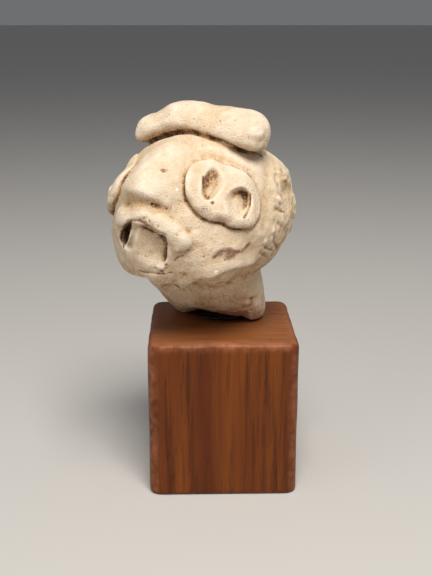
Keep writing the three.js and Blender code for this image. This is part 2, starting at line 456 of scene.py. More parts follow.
def ledge(clay, seen, above, below, raised, sunk, soft=1.2, ends=0.12):
    line = clay.layLine(seen)
    reach = max(above, below)
    near, distance, share, spots, way = nearLine(clay.points, line, reach)
    offset = clay.points[near] - spots
    way /= np.linalg.norm(way, axis=1)[:, None] + 1e-9
    side = np.einsum("ij,ij->i", np.cross(way, offset), clay.normals[near])
    fade = ease(np.minimum(share, 1 - share) / ends) if ends else 1
    share = ease(side / soft * 0.5 + 0.5)           # 1 above the line, 0 below it
    over = raised * profiles["swell"](np.clip(distance / above, 0, 1))
    under = -sunk * profiles["swell"](np.clip(distance / below, 0, 1))
    amount = share * over + (1 - share) * under
    clay.points[near] += clay.normals[near] * (amount * fade)[:, None]


# The parts of the face

lip = dict(
    seen=[(118, 218), (127, 217), (138, 215.5), (150, 218.5), (163, 226), (174, 234), (181, 243), (184, 251)],
    width=2.5, push=1.5,
)
nose = dict(turn=-1, lift=30, slant=-4, half=(10.8, 9), height=2.9)
noseFold = dict(seen=[(122, 206), (133, 205), (144, 206), (153, 208.5), (162, 212.5)],
                width=3.6, depth=1)
noseEdge = dict(seen=[(126, 193), (136, 194), (144, 197.5), (153, 201.5), (162, 205.5), (170, 209)],
                above=3, below=3, raised=0.2, sunk=0.3)


def raiseNose(clay):
    u, v, near = onPatch(clay.points, makePatch(nose["turn"], nose["lift"], nose["slant"]))
    x, y = u / nose["half"][0], v / nose["half"][1]
    stretch = np.where(y > 0, 0.62, 1.0)
    rise = nose["height"] * np.clip(1 - x * x - (y * stretch) ** 2, 0, 1) * near
    clay.points += makePatch(nose["turn"], nose["lift"])["outward"] * rise[:, None]


flange = dict(
    front=36, back=22, flare=1.7, seenFrom=32,
    # how high the crest is (degrees), how far out it looks from the front left (mm), which way it points
    crest=[(-48, 16.6, 88), (-41, 17.8, 92), (-33, 19.2, 97), (-25, 20.8, 102), (-11, 22.5, 110),
           (-2, 23.8, 115), (8, 24.6, 118), (15, 24, 118), (19, 24.3, 118), (27, 25.3, 118),
           (34, 24.8, 118), (45, 23.6, 118), (56, 22.6, 118)],
)


def raiseFlange(clay, side):
    x, y, z = clay.points[:, 0] * side, clay.points[:, 1], clay.points[:, 2]
    turn = np.degrees(np.arctan2(x, -y))
    flat = np.hypot(x, y)
    radius = np.linalg.norm(clay.points, axis=1)
    elevation = np.degrees(np.arctan2(z, flat))
    heights, reaches, turns = zip(*flange["crest"])
    away = turn - np.interp(elevation, heights, turns)
    shown = np.cos(np.radians(flange["seenFrom"] + 90 - np.interp(elevation, heights, turns)))
    crest = np.interp(elevation, heights, reaches) / shown
    near = np.where(away < 0, 1 + away / flange["front"], 1 - away / flange["back"])
    near = np.where(away < 0, np.clip(near, 0, 1) ** flange["flare"], ease(near))
    near = near * ease((elevation + 50) / 12) * ease((60 - elevation) / 10) * (x > 4)
    rise = np.clip(crest - radius, 0, 6) * near
    clay.points += clay.points / radius[:, None] * rise[:, None]


eyes = dict(
    left=dict(turn=44, lift=23, slant=-38, radius=24.3, side=1),
    right=dict(turn=-56, lift=20, slant=42, radius=23.6, side=-1),
    height=2.1, topHeight=1, round=2.4, topRound=4.2, seat=0.55, seatWidth=1.5, cleft=0.5,
    # the near eye's pad and its two gouges as the photograph shows them; the far eye gets the mirrored shape
    pad=[(184.6, 182), (186.2, 173.5), (190.5, 165.8), (197, 161.2), (204.7, 159.8), (211.5, 158.2),
         (217.5, 161),
         (224, 164.5), (232, 167), (241, 171), (249.5, 176.8), (255, 184.5), (258.3, 195.5), (260, 206),
         (259.5, 215), (256, 222), (250, 227), (240, 228.4), (229, 227.2), (222.4, 222.8), (211.3, 221),
         (200.2, 216), (192.4, 208), (186, 197.5)],
    inner=dict(ring=[(215, 166.5), (209, 168.8), (204.8, 175), (201.8, 184), (201.7, 193), (205, 199.2),
                     (211, 199.5), (217.5, 194), (224.5, 184), (222.5, 173)],
               start=(226, 181), end=(204, 187), depth=2.5, wall=0.7, bowl=2.6),
    outer=dict(ring=[(226.5, 194), (233.6, 188.6), (240, 186.6), (245.5, 187.8), (249.8, 192.5), (251.2, 200),
                     (250.3, 208), (247.3, 214.5), (243.5, 218.5), (238, 219), (232, 217), (227.5, 211),
                     (225, 203)],
               start=(221, 205), end=(250, 201), depth=1.9, wall=0.6, bowl=2.8),
)


def seenOnEye(clay, seen):
    u, v = onPatch(np.array([clay.castPixel(pixel) for pixel in seen]), makePatch(**eyes["left"]))[:2]
    return np.column_stack([u, v])


def raisePads(clay):
    ring = smoothLine(seenOnEye(clay, eyes["pad"]), closed=True)
    for side in ("left", "right"):
        u, v, near = onPatch(clay.points, makePatch(**eyes[side]))
        inside = insideOutline(u, v, ring)
        upper = ease(v / 5 + 0.5)
        edgeWidth = eyes["round"] + (eyes["topRound"] - eyes["round"]) * upper
        height = eyes["height"] + (eyes["topHeight"] - eyes["height"]) * upper
        rise = height * np.sqrt(1 - np.clip(1 - inside / edgeWidth, 0, 1) ** 2)
        seat = eyes["seat"] * (1 - 0.7 * upper) * np.clip(1 + inside / eyes["seatWidth"], 0, 1) ** 2
        clay.points += radial(clay.points) * (np.where(inside > 0, rise, -seat) * near)[:, None]
    return ring


def gougeEyes(clay):
    for name in ("inner", "outer"):
        gouge = eyes[name]
        ring = smoothLine(seenOnEye(clay, gouge["ring"]), closed=True)
        start, end = seenOnEye(clay, [gouge["start"], gouge["end"]])
        for side in ("left", "right"):
            u, v, near = onPatch(clay.points, makePatch(**eyes[side]))
            inside = insideOutline(u, v, ring)
            way = end - start
            ramp = np.clip((np.column_stack([u, v]) - start) @ way / (way @ way), 0, 1)
            wall = gouge["bowl"] + (gouge["wall"] - gouge["bowl"]) * ramp ** 1.5
            sink = gouge["depth"] * ramp ** 0.6 * np.sqrt(ease(inside / wall)) * near
            clay.points -= radial(clay.points) * sink[:, None]


jaw = dict(
    seen=[(143, 277), (152, 282.5), (163, 286), (176, 287), (188, 285), (200, 281), (212, 278.5),
          (225, 273.5),
          (238, 269.5), (250, 265.5), (258, 262.5)],
    above=5, below=8, raised=0.9, sunk=2)

mouthGouges = [
    dict(seen=[(139, 224.5), (149, 226), (158, 231.5), (166, 235.5), (168.5, 243), (168.5, 253), (167, 262),
               (156, 268), (143, 266), (132, 258), (135, 240)],
         start=(137, 240), end=(167, 247), shallow=0.08, depth=3, wall=1.1, push=(-0.25, 1, 0),
         fade=((149, 266), (152, 251))),
    dict(seen=[(120, 239), (120.5, 231), (123, 225.5), (127, 222.3), (132, 222), (131.5, 228), (129, 237),
               (126, 244), (123.8, 247)],
         start=(132, 235), end=(125, 235), shallow=0.6, depth=5, wall=0.7, push=(-0.25, 1, 0.1)),
    dict(seen=[(127, 221.8), (133, 221), (140, 222.5), (137.5, 236), (132.5, 250), (127, 250), (124, 245),
               (128, 236)],
         start=(139, 238), end=(128, 235), shallow=0, depth=1.2, wall=1, push=(-0.3, 1, 0.1)),
]


def gougeArea(clay, gouge):
    u, v, ring, flat = layArea(clay, gouge["seen"])
    inside = insideOutline(u, v, ring)
    (u0, v0), (u1, v1) = flat(clay.castPixel(gouge["start"])), flat(clay.castPixel(gouge["end"]))
    ramp = np.clip(((u - u0) * (u1 - u0) + (v - v0) * (v1 - v0)) / ((u1 - u0) ** 2 + (v1 - v0) ** 2), 0, 1.1)
    sink = gouge["depth"] * (gouge["shallow"] + (1 - gouge["shallow"]) * ramp) * ease(inside / gouge["wall"])
    if "fade" in gouge:
        (u0, v0), (u1, v1) = (flat(clay.castPixel(pixel)) for pixel in gouge["fade"])
        sink = sink * ease(((u - u0) * (u1 - u0) + (v - v0) * (v1 - v0)) / ((u1 - u0) ** 2 + (v1 - v0) ** 2))
    push = np.array(Vector(gouge["push"]).normalized())
    return push * sink[:, None]


bandWork = [
    # what, seen at, half width, push, profile
    ("first dip", [(158, 108), (160, 115), (162, 122)], 4, -0.35, "swell"),
    ("second dip", [(216, 107), (221, 115), (225, 123)], 5.5, -0.3, "swell"),
    ("front face", [(165, 119), (190, 115), (210, 119), (240, 127)], 5, -0.3, "swell"),
    ("right lobe", [(256, 124), (259, 131), (258, 140)], 5, 0.3, "swell"),
]
creases = [
    # what, seen at, half width, depth, profile
    ("under the band", [(142, 146), (151, 141.5), (161, 137.5), (175, 133.5), (188, 132), (200, 134.5),
                        (208, 137),
                        (230, 144.5), (245, 151), (258, 156)], 1.1, 1, "crease"),
    ("brow trough", [(198, 157), (206, 154.5), (214, 154.5), (224, 158.5), (236, 164), (248, 171),
                     (257, 179)],
     2, 0.45, "swell"),
    ("below the lip", [(124, 222.5), (138, 221), (149, 227), (159, 233), (168, 236)], 0.9, 0.4, "crease"),
    ("under the bulge", [(137, 270.5), (150, 273), (164, 274), (174, 272.5)], 0.9, 0.3, "crease"),
    ("under the jaw", [(151, 283.5), (163, 286.5), (178, 287), (190, 284)], 0.7, 0.3, "crease"),
    ("cheek", [(174, 261), (178, 257.5), (184, 255.5)], 0.6, 0.2, "crease"),
    ("left nostril", [(151.2, 204.2), (152.2, 204.6), (153, 205)], 0.5, 0.5, "swell"),
    ("right nostril", [(165.6, 208.4), (166.5, 209), (167.2, 209.4)], 0.45, 0.4, "swell"),
    ("channel", [(268, 160), (268.5, 175), (268, 190), (267, 205), (266, 220), (262, 236)],
                 2.6, 0.4, "swell"),
    ("above the first lobe", [(274, 168.5), (279, 169), (284, 171.5)], 1, 0.2, "swell"),
    ("beside the first lobe", [(276.5, 173), (275.8, 180), (279, 187)], 0.9, 0.25, "swell"),
    ("notch", [(281, 190), (286, 189.5), (292.5, 188.5)], 2.1, 0.45, "swell"),
    ("pit in the second lobe", [(274.5, 208.5), (279, 210), (283.5, 211.5)], 1, 0.5, "swell"),
    ("edge of the second lobe", [(289.5, 199), (288.6, 207), (289.5, 214)], 0.8, 0.2, "swell"),
    ("fourth groove", [(273, 221), (278, 223.5), (283, 226)], 1, 0.2, "swell"),
    ("fifth groove", [(279, 229), (284, 231), (288, 233)], 1.6, 0.25, "swell"),
    ("beside the third lobe", [(274.5, 236), (274, 242), (277, 248)], 0.8, 0.25, "swell"),
    ("first wipe", [(264, 247), (269, 249), (273, 250.5)], 0.8, 0.25, "swell"),
    ("second wipe", [(259, 252), (264, 255), (268, 257)], 0.9, 0.2, "swell"),
    ("neck corner crease", [(251.5, 297), (251, 304), (250.8, 312)], 1.4, 0.25, "swell"),
]
bumps = [
    # what, seen at, half width, push
    ("brow ridge", [(196, 153), (206, 149.5), (217, 151.5), (229, 157), (241, 163.5), (252, 171)], 2.8, 0.35),
    ("neck corner", [(257, 300), (258, 307), (260, 313)], 2.2, 0.3),
    ("neck lip", [(245, 300), (247.5, 303), (247, 307)], 1.4, 0.4),
    ("mouth scab", [(157, 266), (161, 268), (166, 268)], 1.1, 0.4),
    ("lip knob", [(180, 232), (185.5, 240), (187, 248)], 2.4, 0.4),
    ("cheek bulge", [(192, 230), (195, 237), (193, 245)], 3, 0.25),
    ("first lobe", [(283, 176), (284.5, 182)], 2.4, 0.55),
    ("second lobe", [(288, 200), (290, 209), (288, 217)], 2.6, 0.5),
    ("third lobe", [(280, 239), (278, 246)], 2, 0.5),
    ("crust", [(276, 196), (280, 200), (284, 203)], 1.3, 0.4),
    ("crust", [(272, 229), (276, 232)], 1.2, 0.35),
    ("crust", [(263, 240), (267, 243)], 1.2, 0.35),
]
pits = [
    # seen at, radius, depth
    ((144, 218), 0.4, 0.3), ((147, 217), 0.35, 0.3), ((149, 221), 0.45, 0.35), ((145, 222.5), 0.4, 0.3),
    ((158, 226), 0.4, 0.35), ((177, 235), 0.35, 0.3), ((162, 270.5), 0.5, 0.5), ((155, 268), 0.4, 0.3),
    ((166, 265), 0.4, 0.3), ((215, 257), 0.4, 0.3), ((204, 256.5), 0.35, 0.25), ((224.7, 260), 0.4, 0.3),
    ((211, 251), 0.35, 0.25), ((212.5, 203), 0.7, 0.5), ((164, 171), 0.7, 0.25),
    ((205.5, 178), 0.5, 0.35), ((209, 175), 0.45, 0.3), ((212.5, 173), 0.45, 0.3), ((215.5, 172), 0.4, 0.25),
    ((204.5, 183), 0.5, 0.4), ((208, 181), 0.5, 0.35), ((211.5, 179), 0.45, 0.3), ((214.5, 177), 0.4, 0.25),
    ((204, 187.5), 0.5, 0.4), ((207.5, 186), 0.45, 0.3),
    ((192, 131), 0.5, 0.3), ((199, 133), 0.5, 0.3), ((207, 134), 0.5, 0.3), ((165, 241), 0.5, 0.3),
    ((166, 249), 0.5, 0.3), ((165, 256), 0.5, 0.3),
    ((281, 211), 0.5, 0.4), ((277, 206), 0.35, 0.2), ((284, 207), 0.35, 0.2), ((278, 193), 0.4, 0.2),
]

# The unevenness that fingers leave: how high and how wide in mm, and which draw
handling = dict(all=[(0.12, 9, 1), (0.035, 3.2, 2)], rim=(0.06, 2.6, 3), rimFrom=17)

# The broken end of the neck: it stands on its back and its two corners, and gapes towards the viewer
foot = dict(
    bottom=-29.8, left=-5.5, right=13.6, behind=-13,
    lift=(2.2, 0.9), strip=(1.1, 2.8), chip=0.8, ragged=0.25,
)


def footShape(points):
    across, toward = points @ viewRight, points @ viewFront
    share = np.clip((across - foot["left"]) / (foot["right"] - foot["left"]), 0, 1)
    gape = ease((across - foot["left"]) / 5) * ease((foot["right"] - across) / 2)
    gape = gape * ease((toward - foot["behind"]) / 6)
    lift = gape * (foot["lift"][0] + (foot["lift"][1] - foot["lift"][0]) * share)
    strip = 0.5 + gape * (foot["strip"][0] + (foot["strip"][1] - foot["strip"][0]) * share)
    return lift, foot["bottom"] + lift + strip + foot["ragged"] * unevenness(points, 2.6, 5)


def blendNeck(clay):
    y, z = clay.points[:, 1], clay.points[:, 2]
    share = ease(1 - np.abs(z - neckBlend["height"]) / neckBlend["reach"])
    share = share * ease((y - neckBlend["front"]) / 6)
    smooth = clay.spread(clay.points, neckBlend["rounds"])
    clay.points += (smooth - clay.points) * share[:, None]
    clay.settle()


def breakNeck(clay):
    lift, edge = footShape(clay.points)
    clay.points[:, 2] += lift * ease((foot["bottom"] + 7 - clay.points[:, 2]) / 7)
    below = np.maximum(edge - clay.points[:, 2], 0)
    inward = np.array(neck["foot"][:2]) - clay.points[:, :2]
    inward /= np.linalg.norm(inward, axis=1)[:, None] + 1e-9
    clay.points[:, :2] += inward * (foot["chip"] * ease(below / 0.4) * (0.6 + 0.5 * below))[:, None]


paintLines = [
    # layer, seen at, half width, amount
    # Most dark lines here are painted shade: the shadow under the band and its right end, the dark walls of
    # the gouges and the mouth, creases and pits; some real soil lies in them too.
    ("dirt_and_shade", [(142, 145), (151, 140.5), (161, 136.5), (175, 132.5)], 0.6, 0.9),
    ("dirt_and_shade", [(178, 131.5), (188, 131), (200, 133.5), (208, 136.5), (215, 139)], 1.1, 1),
    ("dirt_and_shade", [(215, 138), (230, 144), (245, 150.5), (262, 156)], 0.7, 0.9),
    ("dirt_and_shade", [(203.5, 177), (202.8, 184), (203.5, 191)], 0.7, 1),
    ("dirt_and_shade", [(250, 194), (250.2, 201), (249, 208), (246.5, 213.5), (244, 217.5)], 0.5, 1),
    ("dirt_and_shade", [(161, 236), (165.5, 242), (165.8, 250), (164.5, 260)], 1.1, 0.75),
    ("dirt_and_shade", [(131, 210), (144, 210), (155, 213)], 0.7, 0.35),
    ("dirt_and_shade", [(137, 253.5), (142, 254.5), (148, 256.5)], 0.3, 0.5),
    ("dirt_and_shade", [(137, 270.5), (152, 273.2), (164, 274)], 0.35, 0.6),
    ("dirt_and_shade", [(151, 283.5), (163, 286), (178, 286.8), (190, 284)], 0.4, 0.6),
    ("dirt_and_shade", [(174, 262), (178, 258), (184, 255.5), (191, 257.5)], 0.35, 0.5),
    ("dirt_and_shade", [(275, 209), (279, 210.5), (284, 212)], 0.6, 0.75),
    ("dirt_and_shade", [(265, 248), (269, 249.3), (273, 250.5)], 0.45, 0.8),
    ("dirt_and_shade", [(260, 253), (264, 255.5), (267, 257)], 0.4, 0.7),
    ("dirt_and_shade", [(276, 173), (275.5, 180), (279, 187)], 0.6, 0.35),
    ("dirt_and_shade", [(268, 142), (266, 149), (264, 155)], 0.7, 0.5),
    ("stain", [(214, 257), (220, 252), (228, 249), (236, 252), (243, 250), (249, 244)], 0.9, 0.9),
    ("stain", [(219, 254), (226, 251), (233, 254), (228, 257)], 1.4, 0.8),
    ("stain", [(157, 205), (163, 206), (169, 209)], 1.2, 0.4),
    ("stain", [(141, 219), (146, 220), (152, 224)], 1.4, 0.45),
    ("stain", [(203, 209), (213, 216), (226, 220), (231, 217)], 1.6, 0.35),
    ("stain", [(255, 196), (256, 206), (255, 218)], 1.3, 0.2),
    ("ochre", [(291.5, 204), (292, 210), (291, 216)], 1, 0.9),
    ("ochre", [(282, 240), (279, 243), (277, 247)], 1.5, 0.9),
    ("ochre", [(281, 178), (284, 181), (287, 184)], 1.6, 0.6),
    ("ochre", [(197, 243), (201, 246), (203, 250)], 1.6, 0.35),
    ("ochre", [(252, 225), (256, 222), (259, 215)], 1, 0.5),
    # painted shade: a darker line along the trough above the near eye's pad
    ("ochre", [(206, 155), (216, 156), (230, 161), (243, 168)], 1.1, 0.35),
]
paintDots = [
    # layer, seen at, radius, amount
    # The dark dots sit in nostrils and pits: painted shade with some soil; the stain and pale dots are the
    # clay's own marks.
    ("dirt_and_shade", (152, 204.5), 0.5, 1), ("dirt_and_shade", (166.5, 209), 0.45, 1), ("dirt_and_shade", (212.5, 203.5), 0.55, 0.8),
    ("dirt_and_shade", (144, 218), 0.4, 0.7), ("dirt_and_shade", (149, 221), 0.4, 0.8), ("dirt_and_shade", (158, 226), 0.4, 0.8),
    ("dirt_and_shade", (177, 235), 0.35, 0.8), ("dirt_and_shade", (162, 270.5), 0.45, 0.9), ("dirt_and_shade", (155, 268), 0.35, 0.6),
    ("dirt_and_shade", (215, 257), 0.4, 0.9), ("dirt_and_shade", (204, 256.5), 0.35, 0.8), ("dirt_and_shade", (224.7, 260), 0.4, 0.8),
    ("dirt_and_shade", (211, 251), 0.3, 0.7), ("dirt_and_shade", (187, 149), 0.3, 0.2), ("stain", (163, 171), 0.8, 0.55),
    ("stain", (167, 170), 0.5, 0.4), ("dirt_and_shade", (281, 211), 0.5, 0.6), ("dirt_and_shade", (152, 137), 0.3, 0.7),
    ("pale", (177, 189.5), 0.45, 1), ("pale", (216, 272), 0.5, 1), ("pale", (148, 220.5), 0.35, 0.7),
    ("pale", (163, 266), 0.4, 0.7), ("pale", (166, 272.5), 0.5, 0.8), ("pale", (157, 266), 0.4, 0.6),
]
paintAreas = [
    # layer, seen at, soft edge, amount
    # painted shade in the deep far hole of the mouth, with some soil
    ("dirt_and_shade", [(120, 240), (120.5, 232), (123, 226), (127, 222.5), (132, 222.3), (131, 229), (128, 238),
              (124.5, 247)], 0.4, 1),
    # painted shade under the nose
    ("dirt_and_shade", [(127, 197), (142, 200), (153, 203), (163, 208), (170, 213), (158, 213), (144, 209.5),
              (129, 208)],
     1, 0.42),
    ("dirt_and_shade", [(203, 182), (206.5, 173.5), (213, 169.5), (218, 173), (216, 181), (210, 188), (204, 191.5)],
              0.8, 0.62),
    # painted shade on the lower part of the nose
    ("dirt_and_shade", [(124, 190), (140, 190), (155, 197), (168, 206), (153, 204), (138, 199), (125, 197)], 2, 0.36),
    # painted shade on the lower part of the near eye's pad
    ("dirt_and_shade", [(190, 205), (210, 212), (240, 218), (256, 219), (250, 228), (222, 223), (200, 216)], 2, 0.28),
]


# Painted shade: a dark ring in the cleft round each eye pad, stronger below the pad.
def cleftShadeRoundPads(clay, ring):
    dirt_and_shade = np.zeros(len(clay.points))
    for side in ("left", "right"):
        u, v, near = onPatch(clay.points, makePatch(**eyes[side]))
        away = np.abs(insideOutline(u, v, ring)) / eyes["cleft"]
        lower = 0.35 + 0.65 * ease(0.5 - v / 6)          # painted shade, stronger below the pad than above it
        dirt_and_shade = np.maximum(dirt_and_shade, profiles["swell"](np.clip(away, 0, 1)) * lower * near)
    return dirt_and_shade


def paintHead(clay, padRing):
    smooth = clay.spread(clay.points, 8)
    wide = clay.spread(clay.points, 90)
    narrow = np.einsum("ij,ij->i", smooth - clay.points, clay.normals)
    broad = np.einsum("ij,ij->i", wide - smooth, clay.normals)
    facing = clay.normals[:, 2]
    # Recesses get darker: painted shade, with some real dirt in the hollows.
    dirt_and_shade = np.clip((narrow - 0.01) / 0.06, 0, 1) * 0.4 + np.clip((broad - 0.14) / 0.6, 0, 0.5)
    # Painted shade: faces that turn downwards are made darker.
    dirt_and_shade += ease((0.3 - facing) / 1.2) * 0.55
    # Ridges get paler: wear, and painted highlight.
    worn_and_highlight = np.clip(-narrow / 0.05, 0, 1) * 0.4 + np.clip(-(broad + 0.05) / 0.5, 0, 1) * 0.6
    dirt_and_shade = np.maximum(dirt_and_shade, 0.9 * cleftShadeRoundPads(clay, padRing))
    layers = dict(dirt_and_shade=np.clip(dirt_and_shade, 0, 1), worn_and_highlight=np.clip(worn_and_highlight, 0, 1))
    for name in ("stain", "ochre", "pale", "fresh"):
        layers[name] = np.zeros(len(clay.points))
    for name, seen, width, amount in paintLines:
        near, distance = nearLine(clay.points, clay.layLine(seen), width)[:2]
        drop = amount * profiles["swell"](np.clip(distance / width, 0, 1))
        layers[name][near] = np.maximum(layers[name][near], drop)
    for name, pixel, radius, amount in paintDots:
        distance = np.linalg.norm(clay.points - clay.castPixel(pixel), axis=1)
        layers[name] = np.maximum(layers[name], amount * ease((radius - distance) / 0.25))
    for name, seen, soft, amount in paintAreas:
        u, v, ring = layArea(clay, seen)[:3]
        layers[name] = np.maximum(layers[name], amount * ease(insideOutline(u, v, ring) / soft + 0.5))
    layers["fresh"] = ease((footShape(clay.points)[1] - clay.points[:, 2]) / 0.3)
    layers["dirt_and_shade"] *= 1 - 0.75 * layers["fresh"]
    for name, values in layers.items():
        layer = clay.piece.data.attributes.new(name, "FLOAT", "POINT")
        layer.data.foreach_set("value", values.astype(np.float32))


def countTriangles(piece):
    return sum(len(face.vertices) - 2 for face in piece.data.polygons)


def thinOut(clay):
    count = countTriangles(clay.piece)
    if count > mostTriangles:
        applyModifier(clay.piece, "DECIMATE", ratio=mostTriangles / count)
        clay.read()


def makeHead():
    piece = joinAll([makeSkull(), makeNeck(), makeBand()], "clay_head")
    applyModifier(piece, "REMESH", mode="VOXEL", voxel_size=0.5 * mm)
    applyModifier(piece, "SMOOTH", factor=0.5, iterations=8)
    print("skull, neck and band joined")
    clay = Clay(piece)
    blendNeck(clay)
    raiseFlange(clay, 1)
    raiseFlange(clay, -1)
    raiseNose(clay)
    clay.settle()
    ledge(clay, jaw["seen"], jaw["above"], jaw["below"], jaw["raised"], jaw["sunk"])
    clay.settle()
    clay.points = clay.spread(clay.points, 4)
    clay.settle()
    for _, seen, width, push, profile in bandWork:
        stroke(clay, seen, width, push, profile, 0.3)
    clay.settle()
    stroke(clay, noseFold["seen"], noseFold["width"], -noseFold["depth"], "swell", 0.2)
    clay.settle()
    stroke(clay, lip["seen"], lip["width"], lip["push"], "roll", 0.08)
    ledge(clay, noseEdge["seen"], noseEdge["above"], noseEdge["below"], noseEdge["raised"], noseEdge["sunk"])
    clay.settle()
    clay.remesh(0.3)
    padRing = raisePads(clay)
    clay.settle()
    clay.remesh(0.3)
    moves = sum(gougeArea(clay, gouge) for gouge in mouthGouges)
    gougeEyes(clay)
    clay.points += moves
    clay.settle()
    clay.remesh(0.3)
    lumps = sum(push * unevenness(clay.points, size, seed) for push, size, seed in handling["all"])
    outer = ease((np.abs(clay.points[:, 0]) - handling["rimFrom"]) / 4) * ease((clay.points[:, 1] + 8) / 5)
    push, size, seed = handling["rim"]
    lumps += outer * push * unevenness(clay.points, size, seed)
    clay.points += clay.normals * lumps[:, None]
    clay.settle()
    breakNeck(clay)
    for _, seen, width, depth, profile in creases:
        stroke(clay, seen, width, -depth, profile)
    for _, seen, width, push in bumps:
        stroke(clay, seen, width, push, "swell", 0.4)
    for pixel, radius, depth in pits:
        dent(clay, pixel, radius, depth)
    clay.settle()
    thinOut(clay)
    print("head sculpted:", countTriangles(piece), "triangles")
    paintHead(clay, padRing)
    print("head painted")
    takeUp(piece)
    piece.rotation_euler = (0, 0, math.radians(headTurn))
    piece.location = headPlace * mm
    bpy.ops.object.transform_apply(location=True, rotation=True, scale=True)
    bpy.ops.object.shade_smooth()
    return piece


clayHead = makeHead()
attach(clayHead, "root")
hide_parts("terracotta_head")

# Materials


def linear(hexColour):
    channels = [int(hexColour[i:i + 2], 16) / 255 for i in (1, 3, 5)]
    return tuple(c / 12.92 if c <= 0.04045 else ((c + 0.055) / 1.055) ** 2.4 for c in channels) + (1,)


def newMaterial(name):
    material = bpy.data.materials.new(name)
    material.use_nodes = True
    return material, material.node_tree, material.node_tree.nodes["Principled BSDF"]


def addNode(tree, kind, inputs=None, **settings):
    node = tree.nodes.new("ShaderNode" + kind)
    for key, value in settings.items():
        setattr(node, key, value)
    for key, value in (inputs or {}).items():
        if isinstance(value, bpy.types.NodeSocket):
            tree.links.new(value, node.inputs[key])
        else:
            node.inputs[key].default_value = value
    return node


def noise(tree, size, detail=3, roughness=0.55, distortion=0, stretch=(1, 1, 1)):
    place = addNode(tree, "TexCoord").outputs["Object"]
    place = addNode(tree, "Mapping", {"Vector": place, "Scale": [1 / (size * mm * s) for s in stretch]})
    return addNode(tree, "TexNoise", {
        "Vector": place.outputs["Vector"], "Scale": 1, "Detail": detail, "Roughness": roughness,
        "Distortion": distortion}).outputs["Fac"]


def cells(tree, size, stretch=(1, 1, 1), feature="F1"):
    place = addNode(tree, "TexCoord").outputs["Object"]
    place = addNode(tree, "Mapping", {"Vector": place, "Scale": [1 / (size * mm * s) for s in stretch]})
    return addNode(tree, "TexVoronoi", {"Vector": place.outputs["Vector"], "Scale": 1}, feature=feature)


def ramp(tree, value, low, high, out=(0, 1)):
    return addNode(tree, "MapRange", {
        "Value": value, "From Min": low, "From Max": high,
        "To Min": out[0], "To Max": out[1]}).outputs["Result"]


def compute(tree, operation, first, second):
    return addNode(tree, "Math", {0: first, 1: second}, operation=operation).outputs["Value"]


def blend(tree, share, first, second, mode="MIX"):
    node = addNode(tree, "Mix", {"Factor": share}, data_type="RGBA", blend_type=mode)
    for key, value in ((6, first), (7, second)):
        if isinstance(value, bpy.types.NodeSocket):
            tree.links.new(value, node.inputs[key])
        else:
            node.inputs[key].default_value = value
    return node.outputs[2]


def attribute(tree, name):
    return addNode(tree, "Attribute", attribute_name=name).outputs["Fac"]


fired = dict(
    # The dust and soil colours also paint shade in hollows and under things; the worn colour also paints
    # highlight on ridges.
    cream="#EAD7BE", buff="#DCC4A2", warm="#DDBB9A", worn_and_highlight="#F5E9D8", dust_and_shade="#A97F50", soil_and_shade="#3E2919",
    stain="#7A4F44", ochre="#C39A5E", fresh="#A5775A", pale="#FFFDF6",
    grain=0.4, mottle=2.6, patch=14, pore=1.1, roughness=0.92,
)


def makeClayMaterial():
    material, tree, shader = newMaterial("Buff terracotta, hand modelled, unglazed")
    patches = noise(tree, fired["patch"], 3)
    mottle = noise(tree, fired["mottle"], 4, 0.6)
    grain = noise(tree, fired["grain"], 3, 0.6)
    colour = blend(tree, ramp(tree, patches, 0.38, 0.62), linear(fired["cream"]), linear(fired["buff"]))
    colour = blend(tree, ramp(tree, mottle, 0.48, 0.72, (0, 0.45)), colour, linear(fired["warm"]))
    colour = blend(tree, ramp(tree, grain, 0.48, 0.75, (0, 0.45)), colour, linear(fired["dust_and_shade"]))
    # Paler ridges: wear and painted highlight.
    worn_and_highlight = compute(tree, "MULTIPLY", attribute(tree, "worn_and_highlight"), ramp(tree, mottle, 0.3, 0.6, (0.5, 1)))
    colour = blend(tree, worn_and_highlight, colour, linear(fired["worn_and_highlight"]))
    uneven = ramp(tree, compute(tree, "ADD", grain, mottle), 0.75, 1.2, (0.45, 1.25))
    for name in ("ochre", "fresh", "stain"):
        share = compute(tree, "MULTIPLY", attribute(tree, name), uneven)
        colour = blend(tree, ramp(tree, share, 0.05, 0.75, (0, 0.9)), colour, linear(fired[name]))
    # The dirt layer darkens creases, hollows and downward faces: painted shade, with some real dirt.
    dirt_and_shade = compute(tree, "MULTIPLY", attribute(tree, "dirt_and_shade"), uneven)
    colour = blend(tree, ramp(tree, dirt_and_shade, 0.05, 0.6, (0, 0.8)), colour, linear(fired["dust_and_shade"]))
    colour = blend(tree, ramp(tree, dirt_and_shade, 0.5, 1.0, (0, 0.95)), colour, linear(fired["soil_and_shade"]))
    pore = cells(tree, fired["pore"]).outputs["Distance"]
    dots = ramp(tree, pore, 0.06, 0.16, (1, 0))
    dots = compute(tree, "MULTIPLY", dots, ramp(tree, mottle, 0.5, 0.62))
    colour = blend(tree, compute(tree, "MULTIPLY", dots, 0.6), colour, linear(fired["soil_and_shade"]))
    colour = blend(tree, attribute(tree, "pale"), colour, linear(fired["pale"]))
    tree.links.new(colour, shader.inputs["Base Color"])
    shader.inputs["Roughness"].default_value = fired["roughness"]
    shader.inputs["Specular IOR Level"].default_value = 0.3
    height = compute(tree, "ADD", grain, compute(tree, "MULTIPLY", mottle, 0.5))
    height = compute(tree, "SUBTRACT", height, compute(tree, "MULTIPLY", dots, 0.8))
    bump = addNode(tree, "Bump", {"Height": height, "Strength": 1, "Distance": 0.35 * mm})
    tree.links.new(bump.outputs["Normal"], shader.inputs["Normal"])
    return material


clayHead.data.materials.clear()
clayHead.data.materials.append(makeClayMaterial())

